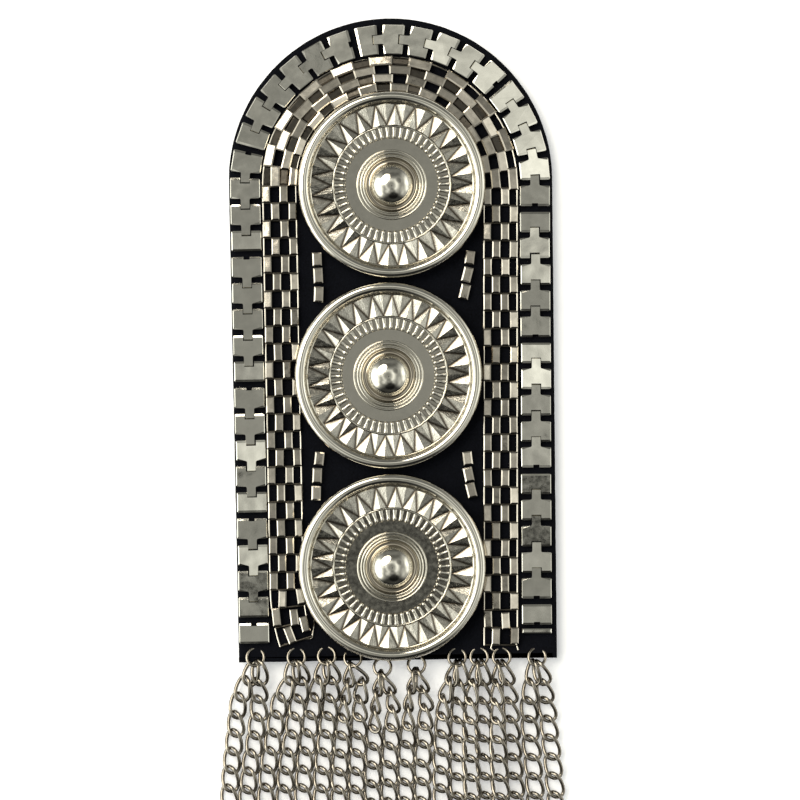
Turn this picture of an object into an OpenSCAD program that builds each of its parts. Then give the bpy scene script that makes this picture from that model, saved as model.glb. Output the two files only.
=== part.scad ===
// Chain-fringed epaulette, lying flat on its back.
// The frame: X across the board, Y from the fringe to the round end, Z out of the felt.
// The origin is the middle of the board's flat back. Lengths are millimetres.

/* [Board] */
// Width of the felt board at its round end
board_w = 70.4; // [70.2:0.1:72]
// Width of the felt board at its straight end
board_foot_w = 69.2; // [69:0.1:70]
// Length of the felt board, round end included
board_l = 139.6; // [139.2:0.1:141]
// Thickness of the felt board
board_t = 3; // [2:0.5:4]

/* [Plate chain] */
// Width of one plate, across the chain
plate_w = 6.5; // [6:0.1:6.5]
// Length of one plate, along the chain
plate_l = 4.5; // [4:0.1:4.6]
// Thickness of one plate
plate_t = 1.2; // [0.8:0.1:1.6]
// Distance from one plate to the next
plate_pitch = 5.68; // [5.5:0.01:5.7]
// Width of the tongue that joins a plate to the next
tongue_w = 1.9; // [1.6:0.05:2.1]
// Radius of the chain's middle line round the end
plate_track_r = 31.45; // [31.3:0.05:31.5]

/* [Brick band] */
// Width of the woven band
band_w = 7.4; // [7:0.1:7.5]
// Thickness of the woven band
band_t = 1.2; // [1:0.1:1.2]
// Number of rows of bricks, from one cut end to the other
brick_rows = 72; // [70:1:74]
// Radius of the band's middle line round the end
band_track_r = 24; // [23.9:0.05:24.1]

/* [Conchos] */
// Outer diameter of a concho
concho_d = 40.6; // [40:0.1:40.6]
// Number of teeth in the sunburst
teeth = 25; // [20:1:30]
// Height of a sunburst ridge over its valleys
tooth_h = 0.8; // [0.4:0.1:1]
// Diameter of the dome's foot
dome_d = 9.3; // [8:0.1:10]
// Height of the dome over the dish
dome_h = 3.2; // [2:0.1:4]

/* [Fringe] */
// Outer diameter of a jump ring
ring_d = 4.4; // [4:0.1:4.4]
// Wire diameter of a jump ring
ring_wire = 0.7; // [0.5:0.1:0.7]
// Width of a hanging chain
chain_w = 3.2; // [2.8:0.1:3.2]
// Thickness of a hanging chain
chain_t = 1.7; // [1.4:0.1:1.7]

/* [Hidden] */
$fn = 64;
clearance = 0.1;
felt_top = board_t;
seat_z = felt_top + clearance;
edge_y = -board_l / 2;

// The plate chain and the band go up the right side, round the end and down the left side.
// Both legs lean inwards, away from the round end, and the right one leans more.
track_centre = [-0.15, 33.6];
// A track: [radius round the end, y of both feet, lean of the right leg, lean of the left leg]
plate_track = [plate_track_r, -66, 1.1, 0.5];
band_track = [band_track_r, -66.8, 1.5, 0.3];
// Over the last stretch the band veers inwards, on an arc of this radius.
band_bend_l = 12;
band_bend_r = 40;
band_straight_end_y = -53.5;

// Plates in each cut length of the chain, in the order in which the track meets them.
plate_runs = [1, 5, 5, 5, 5, 6, 6, 4, 5, 5, 4, 1];
first_plate_s = 5.7;
tongue_overlap = 1.4;
notch_clearance = 0.25;
plate_corner_r = 0.35;
// The cut-off end of a link, below the first plate.
end_bar = [2.2, 1.1];  // [place along the track, length]

brick_columns = 4;
brick_gap = 0.2;
cross_pin_d = 0.8;

// Each row: [node name, middle x, middle y].
conchos = [
    ["concho_top", 0.25, 33.4],
    ["concho_middle", -1.1, -7.9],
    ["concho_bottom", -0.95, -49.4]
];
// Concho radii and heights over the felt.
rim_r = 1.2;
rim_z = 2.5;
foot_r = [17.9, 18.9];  // [inner, outer]
dish_z = [1.1, 2];  // [underside, floor]
sunburst_r = [12.8, 17.95];  // [inner, outer]
collar_r = [12.45, 12.95];
collar_h = 0.45;
knurl_r = [10.5, 12.5];
knurl_h = 0.4;
// Stepped rings round the dome: [inner radius, outer radius, height over the dish].
steps = [[6.9, 7.5, 0.35], [6.1, 6.75, 0.6], [5.3, 5.95, 0.45]];

// Bars sewn between the conchos: [node name, x, y, turn in degrees, length].
bars = [
    ["bar_upper_left_1", -16.1, 17.6, 1, 3.0],
    ["bar_upper_left_2", -16.0, 14.0, 2, 3.5],
    ["bar_upper_left_3", -15.9, 10.0, -3, 3.5],
    ["bar_upper_right_1", 17.0, 17.4, -8, 3.0],
    ["bar_upper_right_2", 16.4, 13.7, -15, 3.4],
    ["bar_upper_right_3", 15.7, 10.1, -14, 3.4],
    ["bar_lower_left_1", -16.4, -25.7, -7, 3.0],
    ["bar_lower_left_2", -16.9, -29.4, -3, 3.4],
    ["bar_lower_left_3", -17.1, -33.1, -2, 3.2],
    ["bar_lower_right_1", 15.7, -26.1, 6, 3.0],
    ["bar_lower_right_2", 16.0, -29.6, 11, 3.2],
    ["bar_lower_right_3", 16.5, -33.1, 13, 3.3]
];
bar_w = 1.9;
bar_h = 1.3;

// Jump rings: [x, y] of each middle.
rings = [
    [-31.0, -68.6], [-22.1, -68.7], [-15.5, -68.6], [-9.8, -69.1], [-3.4, -71.2],
    [4.0, -70.8], [12.8, -69.3], [17.6, -69.3], [22.5, -69.4], [30.2, -69.5]
];
ring_z = seat_z + ring_wire / 2;

// Hanging chains, two on each ring. Each row holds x at the named distances down the
// fringe, then how far the chain is lifted by its neighbours, and where its end lies:
// [x at slope_y, x at near_y, x at mid_y, x at far_y, x at the end, lift, end y].
chains = [
    [-33.5, -35, -36, -37, -40.5, 0, -146],
    [-30.5, -30.5, -31.5, -33, -36.5, 0, -150],
    [-24, -26, -27.5, -29, -32, 0, -142],
    [-21, -22, -23.5, -25, -28, 0, -146],
    [-17.5, -18.5, -20, -21, -23.5, 0, -150],
    [-14.5, -15, -16, -17, -19, 0, -146],
    [-11, -11.8, -12.5, -13.2, -15, 0, -142],
    [-8, -8.5, -9, -9.5, -11, 0, -150],
    [-5, -5, -5.5, -6, -7, 0, -146],
    [-1.8, -1.4, -1.8, -2.4, -3, 0, -150],
    [2, 2.2, 1.8, 1.2, 1, 0, -142],
    [5.6, 5.7, 5.4, 4.8, 5, 0, -146],
    [10.2, 9.8, 9.4, 9, 9.5, 0, -150],
    [13.2, 13, 12.8, 12.6, 13.5, 0, -146],
    [15.8, 15.7, 15.6, 15.6, 17, 1.55, -142],
    [18.5, 18.4, 18.4, 18.6, 20.5, 0, -150],
    [21.2, 21.2, 21.4, 21.7, 24, 1.55, -146],
    [23.8, 24.1, 24.5, 25, 27.5, 0, -150],
    [28.8, 28.4, 28.6, 29.2, 32, 0, -142],
    [31.7, 32, 32.8, 33.6, 36.5, 0, -146]
];
slope_y = -75;
near_y = -79;
mid_y = -87;
far_y = -96;
// Section of a chain's tube at each station: [share of chain_w, share of chain_t].
chain_sections = [[0.4, 0.8], [0.68, 1], [0.84, 1], [1, 1], [1, 1], [1, 1], [1, 1]];
chain_sides = 8;
chain_start_x = 0.85;
chain_start_gap = 0.25;
slope_z = 0.75;

function two_digits(n) = n < 10 ? str("0", n) : str(n);
function run_name(i) = str("plate_run_", two_digits(i + 1));
function ring_name(i) = str("jump_ring_", two_digits(i + 1));
function chain_name(i) = str("fringe_chain_", two_digits(i + 1));

function leg_length(track) = track_centre[1] - track[1];

// X of a track's right (side 1) or left (side -1) leg at height y.
function leg_x(track, y, side) =
    let (lean = side > 0 ? track[2] : track[3])
    track_centre[0] + side * (track[0] - lean * (track_centre[1] - y) / leg_length(track));

// Place at length s along a track, from its right foot: [x, y, heading in degrees].
function place_on(track, s) =
    let (leg = leg_length(track), arc = PI * track[0])
    s < leg ?
        let (y = track[1] + s)
        [leg_x(track, y, 1), y, 90 - atan(track[2] / leg)]
    : s < leg + arc ?
        let (turn = (s - leg) / track[0] * 180 / PI)
        [track_centre[0] + track[0] * cos(turn), track_centre[1] + track[0] * sin(turn), turn + 90]
    :
        let (y = track_centre[1] - (s - leg - arc))
        [leg_x(track, y, -1), y, 270 + atan(track[3] / leg)];

// Place on the band, whose left leg ends in the inward bend.
band_bend_s = leg_length(band_track) + PI * band_track_r + track_centre[1] - band_straight_end_y;
row_pitch = (band_bend_s + band_bend_l) / brick_rows;
function place_on_band(s) =
    s < band_bend_s ? place_on(band_track, s)
    : let (turn = (s - band_bend_s) / band_bend_r * 180 / PI)
        [leg_x(band_track, band_straight_end_y, -1) + band_bend_r * (1 - cos(turn)),
         band_straight_end_y - band_bend_r * sin(turn), 270 + turn];

// Number of plates before run i.
function plates_before(i) = i == 0 ? 0 : plate_runs[i - 1] + plates_before(i - 1);

// Puts its children at a place on a track, with their X along the heading.
module at(place, z = 0) {
    translate([place[0], place[1], z]) rotate([0, 0, place[2]]) children();
}

module felt_board() {
    color("#14141c") linear_extrude(board_t) union() {
        translate([0, board_l / 2 - board_w / 2]) circle(d = board_w);
        polygon([
            [-board_foot_w / 2, edge_y], [board_foot_w / 2, edge_y],
            [board_w / 2, board_l / 2 - board_w / 2], [-board_w / 2, board_l / 2 - board_w / 2]
        ]);
    }
}

module plate_outline() {
    notch_w = tongue_w + 2 * notch_clearance;
    notch_l = tongue_overlap + notch_clearance;
    difference() {
        union() {
            square([plate_l - 2 * plate_corner_r, plate_w], center = true);
            square([plate_l, plate_w - 2 * plate_corner_r], center = true);
            for (i = [-1, 1], j = [-1, 1])
                translate([i * (plate_l / 2 - plate_corner_r), j * (plate_w / 2 - plate_corner_r)])
                    circle(plate_corner_r);
        }
        translate([-plate_l / 2 - 1, -notch_w / 2]) square([1 + notch_l, notch_w]);
    }
}

// The tongue between two plates, about the middle of the gap between them.
module tongue_outline() {
    gap = plate_pitch - plate_l;
    translate([-gap / 2 - 1, -tongue_w / 2]) square([gap + 1 + tongue_overlap, tongue_w]);
}

// One cut length of the chain. Every plate but the last has a tongue in the next one's notch.
module plate_run(run) {
    color("#b9b7b0") for (k = [0:plate_runs[run] - 1]) {
        s = first_plate_s + (plates_before(run) + k) * plate_pitch;
        translate([0, 0, seat_z]) linear_extrude(plate_t) union() {
            at(place_on(plate_track, s)) plate_outline();
            if (k < plate_runs[run] - 1)
                at(place_on(plate_track, s + plate_pitch / 2)) tongue_outline();
        }
    }
    if (run == 0) cut_link_end();
}

module cut_link_end() {
    color("#b9b7b0") at(place_on(plate_track, end_bar[0]), seat_z)
        translate([-end_bar[1] / 2, -plate_w / 2, 0])
            cube([end_bar[1], plate_w, plate_t]);
}

// The band's bricks fill every other cell by turns, and hold onto pins between the rows.
// Round the end a row is longer towards the outside, and so are its bricks.
module brick_row(row) {
    column_w = band_w / brick_columns;
    start = place_on_band(row * row_pitch);
    end = place_on_band((row + 1) * row_pitch);
    turn = (end[2] - start[2]) * PI / 180;
    at(place_on_band((row + 0.5) * row_pitch)) for (column = [row % 2:2:brick_columns - 1]) {
        y = (column + 0.5 - brick_columns / 2) * column_w;
        brick_l = row_pitch - y * turn - brick_gap;
        translate([-brick_l / 2, y - (column_w - brick_gap) / 2, 0])
            cube([brick_l, column_w - brick_gap, band_t]);
    }
}

module brick_band() {
    color("#aeaca6") translate([0, 0, seat_z]) union() {
        for (row = [0:brick_rows - 1]) brick_row(row);
        for (row = [0:brick_rows])
            at(place_on_band(row * row_pitch), band_t / 2)
                rotate([90, 0, 0]) cylinder(h = band_w, d = cross_pin_d, center = true, $fn = 24);
    }
}

// Half section of a concho: foot, dish, rolled rim, stepped rings and dome.
module concho_section() {
    rim_centre_r = concho_d / 2 - rim_r;
    dome_r = (pow(dome_d / 2, 2) + pow(dome_h, 2)) / (2 * dome_h);
    translate([rim_centre_r, rim_z]) circle(rim_r);
    translate([foot_r[0], 0]) square([foot_r[1] - foot_r[0], rim_z]);
    translate([0, dish_z[0]]) square([foot_r[0] + 0.1, dish_z[1] - dish_z[0]]);
    translate([collar_r[0], dish_z[0]])
        square([collar_r[1] - collar_r[0], dish_z[1] - dish_z[0] + collar_h]);
    for (step = steps)
        translate([step[0], dish_z[0]])
            square([step[1] - step[0], dish_z[1] - dish_z[0] + step[2]]);
    intersection() {
        translate([0, dish_z[1] + dome_h - dome_r]) circle(dome_r);
        translate([0, dish_z[0]]) square([dome_d / 2, dome_h + 1]);
    }
}

function on_circle(r, turn, z) = [r * cos(turn), r * sin(turn), z];

// A ring with 2 * count corners on each edge. A corner's height is low or high by turns,
// and outer_first and inner_first say which of the two comes first on each edge.
module relief_ring(r, count, base, low, high, outer_first, inner_first) {
    n = 2 * count;
    step = 360 / n;
    function height(i, first) = (i + first) % 2 == 0 ? high : low;
    points = concat(
        [for (i = [0:n - 1]) on_circle(r[1], i * step, height(i, outer_first))],
        [for (i = [0:n - 1]) on_circle(r[0], i * step, height(i, inner_first))],
        [for (i = [0:n - 1]) on_circle(r[1], i * step, base)],
        [for (i = [0:n - 1]) on_circle(r[0], i * step, base)]
    );
    // Corner i of ring k: 0 outer top, 1 inner top, 2 outer base, 3 inner base.
    function corner(k, i) = k * n + i % n;
    // A quad of the top is split so that the fold runs along its valley.
    function fold_down(i) = height(i, outer_first) == low;
    faces = [for (i = [0:n - 1]) each [
        fold_down(i) ? [corner(0, i), corner(1, i), corner(1, i + 1)]
            : [corner(0, i), corner(1, i), corner(0, i + 1)],
        fold_down(i) ? [corner(0, i), corner(1, i + 1), corner(0, i + 1)]
            : [corner(1, i), corner(1, i + 1), corner(0, i + 1)],
        [corner(2, i), corner(2, i + 1), corner(3, i + 1)],
        [corner(2, i), corner(3, i + 1), corner(3, i)],
        [corner(0, i), corner(0, i + 1), corner(2, i + 1)],
        [corner(0, i), corner(2, i + 1), corner(2, i)],
        [corner(1, i), corner(3, i + 1), corner(1, i + 1)],
        [corner(1, i), corner(3, i), corner(3, i + 1)]
    ]];
    polyhedron(points, faces);
}

module concho(place) {
    color("#c4c2bb") translate([place[1], place[2], seat_z]) union() {
        rotate_extrude() concho_section();
        relief_ring(sunburst_r, teeth, dish_z[0] + 0.2, dish_z[1], dish_z[1] + tooth_h, 0, 1);
        relief_ring(knurl_r, 2 * teeth, dish_z[0] + 0.2, dish_z[1], dish_z[1] + knurl_h, 0, 0);
    }
}

// A short bar with a round back, lying on its flat side.
module sewn_bar(bar) {
    color("#b4b2aa") translate([bar[1], bar[2], seat_z])
        rotate([0, 0, bar[3]]) translate([0, bar[4] / 2, 0]) rotate([90, 0, 0])
            linear_extrude(bar[4]) intersection() {
                translate([-bar_w / 2, 0]) square([bar_w, bar_h]);
                translate([0, bar_h - bar_w / 2 - 0.15]) circle(bar_w / 2 + 0.15);
            }
}

module jump_ring(place) {
    color("#b9b7b0") translate([place[0], place[1], ring_z]) rotate_extrude()
        translate([(ring_d - ring_wire) / 2, 0]) circle(ring_wire / 2, $fn = 32);
}

function unit(v) = v / norm(v);

// Middle line of hanging chain i, from its jump ring to its free end.
function chain_route(i) =
    let (c = chains[i], ring = rings[floor(i / 2)], side = i % 2 == 0 ? -1 : 1,
         rest = chain_t / 2 + c[5])
    [
        [ring[0] + side * chain_start_x,
         ring[1] - ring_d / 2 - chain_start_gap, ring_z - 0.1],
        [c[0], slope_y, rest + slope_z * (c[5] > 0 ? 0.3 : 1)],
        [c[1], near_y, rest],
        [c[2], mid_y, rest],
        [c[3], far_y, rest],
        [(c[3] + c[4]) / 2, (far_y + c[6]) / 2, rest],
        [c[4], c[6], rest]
    ];

module hanging_chain(i) {
    route = chain_route(i);
    last = len(route) - 1;
    n = chain_sides;
    function heading(k) = unit(route[min(k + 1, last)] - route[max(k - 1, 0)]);
    points = [for (k = [0:last]) let (
        along = heading(k),
        across = unit(cross(along, [0, 0, 1])),
        up = cross(across, along),
        half_w = chain_w / 2 * chain_sections[k][0],
        half_t = chain_t / 2 * chain_sections[k][1]
    ) for (j = [0:n - 1]) let (a = (j + 0.5) * 360 / n)
        route[k] + across * half_w * cos(a) / cos(180 / n) + up * half_t * sin(a) / cos(180 / n)];
    sides = [for (k = [0:last - 1], j = [0:n - 1]) let (m = (j + 1) % n) each [
        [k * n + j, k * n + m, (k + 1) * n + m],
        [k * n + j, (k + 1) * n + m, (k + 1) * n + j]
    ]];
    near_cap = [for (j = [n - 1:-1:0]) j];
    far_cap = [for (j = [0:n - 1]) last * n + j];
    color("#b1afa8") polyhedron(points, concat(sides, [near_cap, far_cap]));
}

felt_board();
brick_band();
for (place = conchos) concho(place);
for (i = [0:len(plate_runs) - 1]) plate_run(i);
for (bar = bars) sewn_bar(bar);
for (i = [0:len(rings) - 1]) jump_ring(rings[i]);
for (i = [0:len(chains) - 1]) hanging_chain(i);
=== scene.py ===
"""Chain-fringed epaulette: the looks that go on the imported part.

Everything is in metres, in the part's frame: X across the board, Y from the fringe to the
round end, Z out of the felt, with the origin at the middle of the board's flat back.
"""

import math
import random

import bmesh
import bpy
from bpy.props import (
    FloatProperty, FloatVectorProperty, IntProperty, PointerProperty,
)
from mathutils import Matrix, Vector


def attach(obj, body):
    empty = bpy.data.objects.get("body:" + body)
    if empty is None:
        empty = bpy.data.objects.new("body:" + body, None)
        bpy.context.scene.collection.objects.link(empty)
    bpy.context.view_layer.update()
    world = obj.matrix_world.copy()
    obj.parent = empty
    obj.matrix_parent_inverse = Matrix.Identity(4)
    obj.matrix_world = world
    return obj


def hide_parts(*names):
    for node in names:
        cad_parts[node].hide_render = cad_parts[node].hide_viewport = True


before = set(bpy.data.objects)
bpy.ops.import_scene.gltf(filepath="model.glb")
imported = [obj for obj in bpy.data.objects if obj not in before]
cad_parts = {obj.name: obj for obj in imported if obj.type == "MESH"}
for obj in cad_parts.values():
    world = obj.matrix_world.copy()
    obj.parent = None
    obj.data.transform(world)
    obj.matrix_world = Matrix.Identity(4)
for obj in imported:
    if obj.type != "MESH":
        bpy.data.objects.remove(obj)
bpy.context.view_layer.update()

bl_info = {
    "name": "Chain-fringed epaulette",
    "version": (1, 0, 0),
    "blender": (4, 5, 0),
    "location": "3D View > Sidebar > Epaulette",
    "description": "A felt shoulder board with metal trims, sunburst discs and a chain fringe",
    "category": "Add Mesh",
}

MM = 0.001


# Colours and units

def linear(code):
    """An sRGB hex colour as linear red, green and blue."""
    parts = [int(code[i:i + 2], 16) / 255 for i in (1, 3, 5)]
    return tuple(c / 12.92 if c <= 0.04045 else ((c + 0.055) / 1.055) ** 2.4 for c in parts)


def rgba(colour, factor=1.0):
    """A colour as a socket takes it, made darker or lighter by a factor."""
    return (*(c * factor for c in colour[:3]), 1.0)


def size_prop(name, description, millimetres):
    return FloatProperty(name=name, description=description, default=millimetres * MM,
                         min=0.0, precision=5, unit="LENGTH", subtype="DISTANCE")


def angle_prop(name, description, degrees):
    return FloatProperty(name=name, description=description, default=math.radians(degrees),
                         min=0.0, unit="ROTATION", subtype="ANGLE")


def colour_prop(name, description, code):
    return FloatVectorProperty(name=name, description=description, default=linear(code),
                               min=0.0, max=1.0, size=3, subtype="COLOR")


# Settings that a user would change

class FeltSettings(bpy.types.PropertyGroup):
    """The felt board."""
    round_width: size_prop("Round end width", "Width of the board at its round end", 70.4)
    foot_width: size_prop("Straight end width", "Width of the board at its straight end", 69.2)
    length: size_prop("Length", "Length of the board, round end included", 139.6)
    thickness: size_prop("Thickness", "Thickness of the pressed felt", 3.0)
    edge_round: size_prop("Edge rounding", "How far the cut edge is rounded", 0.35)
    edge_wobble: size_prop("Edge wobble", "How far the hand-cut edge wanders", 0.06)
    colour: colour_prop("Felt", "Colour of the felt", "#05060b")


class PlateSettings(bpy.types.PropertyGroup):
    """The flat plate chain along the edge."""
    width: size_prop("Plate width", "Width of a plate, across the chain", 6.5)
    length: size_prop("Plate length", "Length of a plate, along the chain", 4.5)
    thickness: size_prop("Thickness", "Thickness of a plate", 1.2)
    pitch: size_prop("Pitch", "Distance from one plate to the next", 5.68)
    tongue_width: size_prop("Tongue width", "Width of a plate's tongue", 1.9)
    tilt: angle_prop("Tilt", "How unevenly the plates lie", 1.7)
    colour: colour_prop("Plates", "Colour of the plated metal", "#d9d5ca")


class BandSettings(bpy.types.PropertyGroup):
    """The woven band of bricks."""
    width: size_prop("Band width", "Width of the band", 7.4)
    thickness: size_prop("Thickness", "Height of a brick", 1.2)
    rows: IntProperty(name="Rows", description="Rows of bricks from end to end", default=72, min=2)
    pin_diameter: size_prop("Pin diameter", "Diameter of a cross pin", 0.5)
    edge_wire: size_prop("Edge wire", "Diameter of the wire along an open edge", 0.3)
    bulge: angle_prop("Bulge", "How far the outer bricks lean outwards", 6)
    tilt: angle_prop("Tilt", "How unevenly the bricks lie", 5)
    colour: colour_prop("Bricks", "Colour of the folded metal", "#cfc6b8")


class ConchoSettings(bpy.types.PropertyGroup):
    """The three sunburst discs."""
    teeth: IntProperty(name="Teeth", description="Teeth in the sunburst", default=25, min=3)
    tooth_height: size_prop("Tooth height", "Height of a ridge over its valleys", 0.8)
    ribs: IntProperty(name="Ribs", description="Ribs in the inner ring", default=50, min=3)
    dome_width: size_prop("Dome width", "Diameter of the dome's foot", 9.3)
    dome_height: size_prop("Dome height", "Height of the dome over the dish", 3.2)
    colour: colour_prop("Metal", "Colour of the plated casting", "#d8d3c7")
    # The valley and groove colours are painted shade: the casting is drawn darker in its low parts,
    # where shade falls.
    valley_shade_colour: colour_prop("Valleys", "Colour of the tarnish in the valleys", "#8d8271")
    groove_shade_colour: colour_prop("Grooves", "Colour at the foot of the teeth", "#4a4136")


class FringeSettings(bpy.types.PropertyGroup):
    """The sewn rings and the hanging chains."""
    pitch: size_prop("Link pitch", "Distance from one link to the next", 3.93)
    link_width: size_prop("Link width", "Width of a link over its wire", 4.2)
    wire: size_prop("Wire", "Diameter of the link wire", 0.83)
    twist: size_prop("Twist", "How far a link's wire rises and falls", 0.6)
    slant: size_prop("Slant", "How far a link's ends are drawn sideways", 0.45)
    jitter: angle_prop("Jitter", "How unevenly the links lie", 5)
    colour: colour_prop("Wire", "Colour of the plated wire", "#938c81")


class StageSettings(bpy.types.PropertyGroup):
    """Floor, light and camera."""
    camera_height: size_prop("Camera height", "Height of the camera over the board", 600)
    frame_width: size_prop("Frame width", "Width that the picture shows", 173.9)
    floor_colour: colour_prop("Floor", "Colour of the floor", "#f7f8fb")
    key_power: FloatProperty(name="Key light", description="Power of the key light",
                             default=7.0, min=0.0, unit="POWER")


class EpauletteSettings(bpy.types.PropertyGroup):
    """All settings of the epaulette."""
    felt: PointerProperty(type=FeltSettings)
    plates: PointerProperty(type=PlateSettings)
    band: PointerProperty(type=BandSettings)
    conchos: PointerProperty(type=ConchoSettings)
    fringe: PointerProperty(type=FringeSettings)
    stage: PointerProperty(type=StageSettings)


# Places and sizes, most of them as in the part's source. They are in millimetres, apart from
# the first two, which are in metres, and from what a comment says.

FELT_TOP = 3 * MM
SEAT = 3.1 * MM  # the underside of the metal
TRACK_CENTRE = (-0.15, 33.6)
# A track: radius round the end, y of both feet, lean of the right leg, lean of the left leg.
PLATE_TRACK = (31.45, -66, 1.1, 0.5)
BAND_TRACK = (24, -66.8, 1.5, 0.3)
# Over the last stretch the band veers inwards: y where that starts, its length and radius.
BAND_BEND = (-53.5, 12, 40)
TRACK_LEAD = 4  # a track's middle line starts and ends this far beyond its feet
TRACK_STEP = 0.5

# How many plates each cut length has, from the right foot round to the left.
PLATE_RUNS = (1, 5, 5, 5, 5, 6, 6, 4, 5, 5, 4, 1)
FIRST_PLATE = 5.7  # of the first plate's middle, along the track
TONGUE_OVERLAP = 1.1
NOTCH_CLEARANCE = 0.12
NOTCH_MOUTH = 0.65  # half width and depth of an open notch
CUT_LINK = (2.2, 1.1)  # place along the track, length
# How a plate's top rolls off: in from its ends, in from its sides, down.
PLATE_ROLL = (
    (0, 0, 0.34), (0.06, 0.03, 0.13), (0.2, 0.08, 0.09), (0.44, 0.16, 0.02), (0.5, 0.2, 0),
)
# Plates that lie tipped, counted from the right foot: side tip and end tip in degrees.
TIPPED_PLATES = {
    0: (2, 6), 1: (-3, 7), 2: (2, -4), 6: (3, 7), 9: (5, 7), 10: (6, 5), 13: (6, -5), 14: (-5, 6),
    17: (7, 3), 18: (5, 7), 19: (4, 8), 20: (7, 5), 21: (8, 3), 22: (6, 6), 23: (5, 6),
    25: (3, 7), 27: (0, 6), 28: (-3, 6), 36: (-4, 3), 41: (-5, -5), 44: (-7, 4), 46: (-8, -4),
    48: (-6, 5),
}

BAND_COLUMNS = 4
BRICK_GAPS = (0.16, 0.03)  # between rows, between columns
LAST_SLIP = 1.7  # how far the last brick of the outer column has slipped back
PIN_RISE = 0.35  # from the bricks' underside
EDGE_WIRE_INSET = 0.1
EDGE_WIRE_RISE = 0.62  # as a share of a brick's height
# Where the rows are loose, a brick shifts along, rises and turns by up to this much.
LOOSE_SHIFT = 0.4
LOOSE_RISE = 0.6
LOOSE_TURN = 0.12  # radians
# Over the round end the rows are loose, lean outwards more and have bigger bricks.
ARC_LOOSE = 0.35
ARC_BULGE = 1.4
ARC_BRICK_SIZE = (1.25, 1.16, 1)
# There dark copies of the bricks show in some of the open cells, as the strips' lower folds in
# painted shade: their shares on the left and on the right, and how far they lie under the bricks.
SHADED_FOLD_SHARES = (0.85, 0.45)
SHADED_FOLD_DROP = 0.6
# The bent ends of the last pins.
LOOSE_ENDS = (
    [(-24.7, -65.9, 3.4), (-20.4, -64.9, 3.3), (-18.9, -64.8, 3.3), (-18.6, -64.5, 3.35),
     (-18.0, -60.6, 3.6)],
    [(24.9, -64.6, 3.8), (25.6, -66.2, 3.6), (26.1, -67.9, 3.4)],
    [(20.6, -66.0, 3.7), (20.2, -67.4, 3.5), (20.9, -68.2, 3.4)],
)

# The middles of the conchos.
CONCHOS = {
    "concho_top": (0.25, 33.4), "concho_middle": (-1.1, -7.9), "concho_bottom": (-0.95, -49.4),
}

# Bars sewn between the conchos, from the top down: x, y, turn in degrees, length.
BARS = {
    "upper_left": ((-16.1, 17.6, 1, 3.0), (-16.0, 14.0, 2, 3.5), (-15.9, 10.0, -3, 3.5)),
    "upper_right": ((17.0, 17.4, -8, 3.0), (16.4, 13.7, -15, 3.4), (15.7, 10.1, -14, 3.4)),
    "lower_left": ((-16.4, -25.7, -7, 3.0), (-16.9, -29.4, -3, 3.4), (-17.1, -33.1, -2, 3.2)),
    "lower_right": ((15.7, -26.1, 6, 3.0), (16.0, -29.6, 11, 3.2), (16.5, -33.1, 13, 3.3)),
}
BAR_LENGTH = 3.4  # of the one that the others are made from
BAR_WIDTH = 2.15
BAR_HEIGHT = 1.3

# The middles of the sewn rings.
RINGS = (
    (-31.0, -68.6), (-22.1, -68.7), (-15.5, -68.6), (-9.8, -69.1), (-3.4, -71.2),
    (4.0, -70.8), (12.8, -69.3), (17.6, -69.3), (22.5, -69.4), (30.2, -69.5),
)
RING_WIRE_RADIUS = 0.35
RING_RADIUS = 1.85  # of the wire's middle line
RING_Z = 3.45
RING_TIP = 22  # how far a ring is tipped into the felt, in degrees
RING_SINK = 0.2  # how far its middle is under RING_Z
RING_SPREAD = 0.85  # how far a ring's two chains hang from its middle

# Hanging chains, two on each ring: x at y -75, -79, -87, -96 and at the end, lift, end y.
CHAINS = (
    (-33.5, -35, -36, -37, -40.5, 0, -146), (-30.5, -30.5, -31.5, -33, -36.5, 0, -150),
    (-24, -26, -27.5, -29, -32, 0, -142), (-21, -22, -23.5, -25, -28, 0, -146),
    (-17.5, -18.5, -20, -21, -23.5, 0, -150), (-14.5, -15, -16, -17, -19, 0, -146),
    (-11, -11.8, -12.5, -13.2, -15, 0, -142), (-8, -8.5, -9, -9.5, -11, 0, -150),
    (-5, -5, -5.5, -6, -7, 0, -146), (-1.8, -1.4, -1.8, -2.4, -3, 0, -150),
    (2, 2.2, 1.8, 1.2, 1, 0, -142), (5.6, 5.7, 5.4, 4.8, 5, 0, -146),
    (10.2, 9.8, 9.4, 9, 9.5, 0, -150), (13.2, 13, 12.8, 12.6, 13.5, 0, -146),
    (15.8, 15.7, 15.6, 15.6, 17, 1.55, -142), (18.5, 18.4, 18.4, 18.6, 20.5, 0, -150),
    (21.2, 21.2, 21.4, 21.7, 24, 1.55, -146), (23.8, 24.1, 24.5, 25, 27.5, 0, -150),
    (28.8, 28.4, 28.6, 29.2, 32, 0, -142), (31.7, 32, 32.8, 33.6, 36.5, 0, -146),
)
CHAIN_STATIONS = (-75, -79, -87, -96)
# For each ring, how far its left chain is turned on edge where it starts, in degrees, and the y
# below which its chains lie flat.
CHAIN_TURNS = (
    (20, -79), (18, -82), (30, -85), (64, -88), (78, -88),
    (78, -88), (58, -90), (52, -88), (58, -92), (38, -82),
)
RIGHT_CHAIN_TURN = 0.7  # the right chain's share of that turn
HELD_LINKS = 1.3  # the links that keep the whole turn
KNOT_GAP = 2.4  # a chain's first station is at least this far below its start
START_DROP = 0.7  # the chains start this far under the rings' height
FALLEN_Y = -79  # where they have come down to the floor
FLOOR_GAP = 0.12  # between the floor and a link that lies on it
SHINGLE = 12  # the chains lie over each other's edges like shingles, at this many degrees
LINK_SLACK = 0.8  # the play between two links, in wire diameters
LINK_FULLNESS = 0.03  # the third wave of a link's outline

LEVEL = (0, 0, 0)  # the turn of a shape that lies level
FULL_SIZE = (1, 1, 1)

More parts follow.
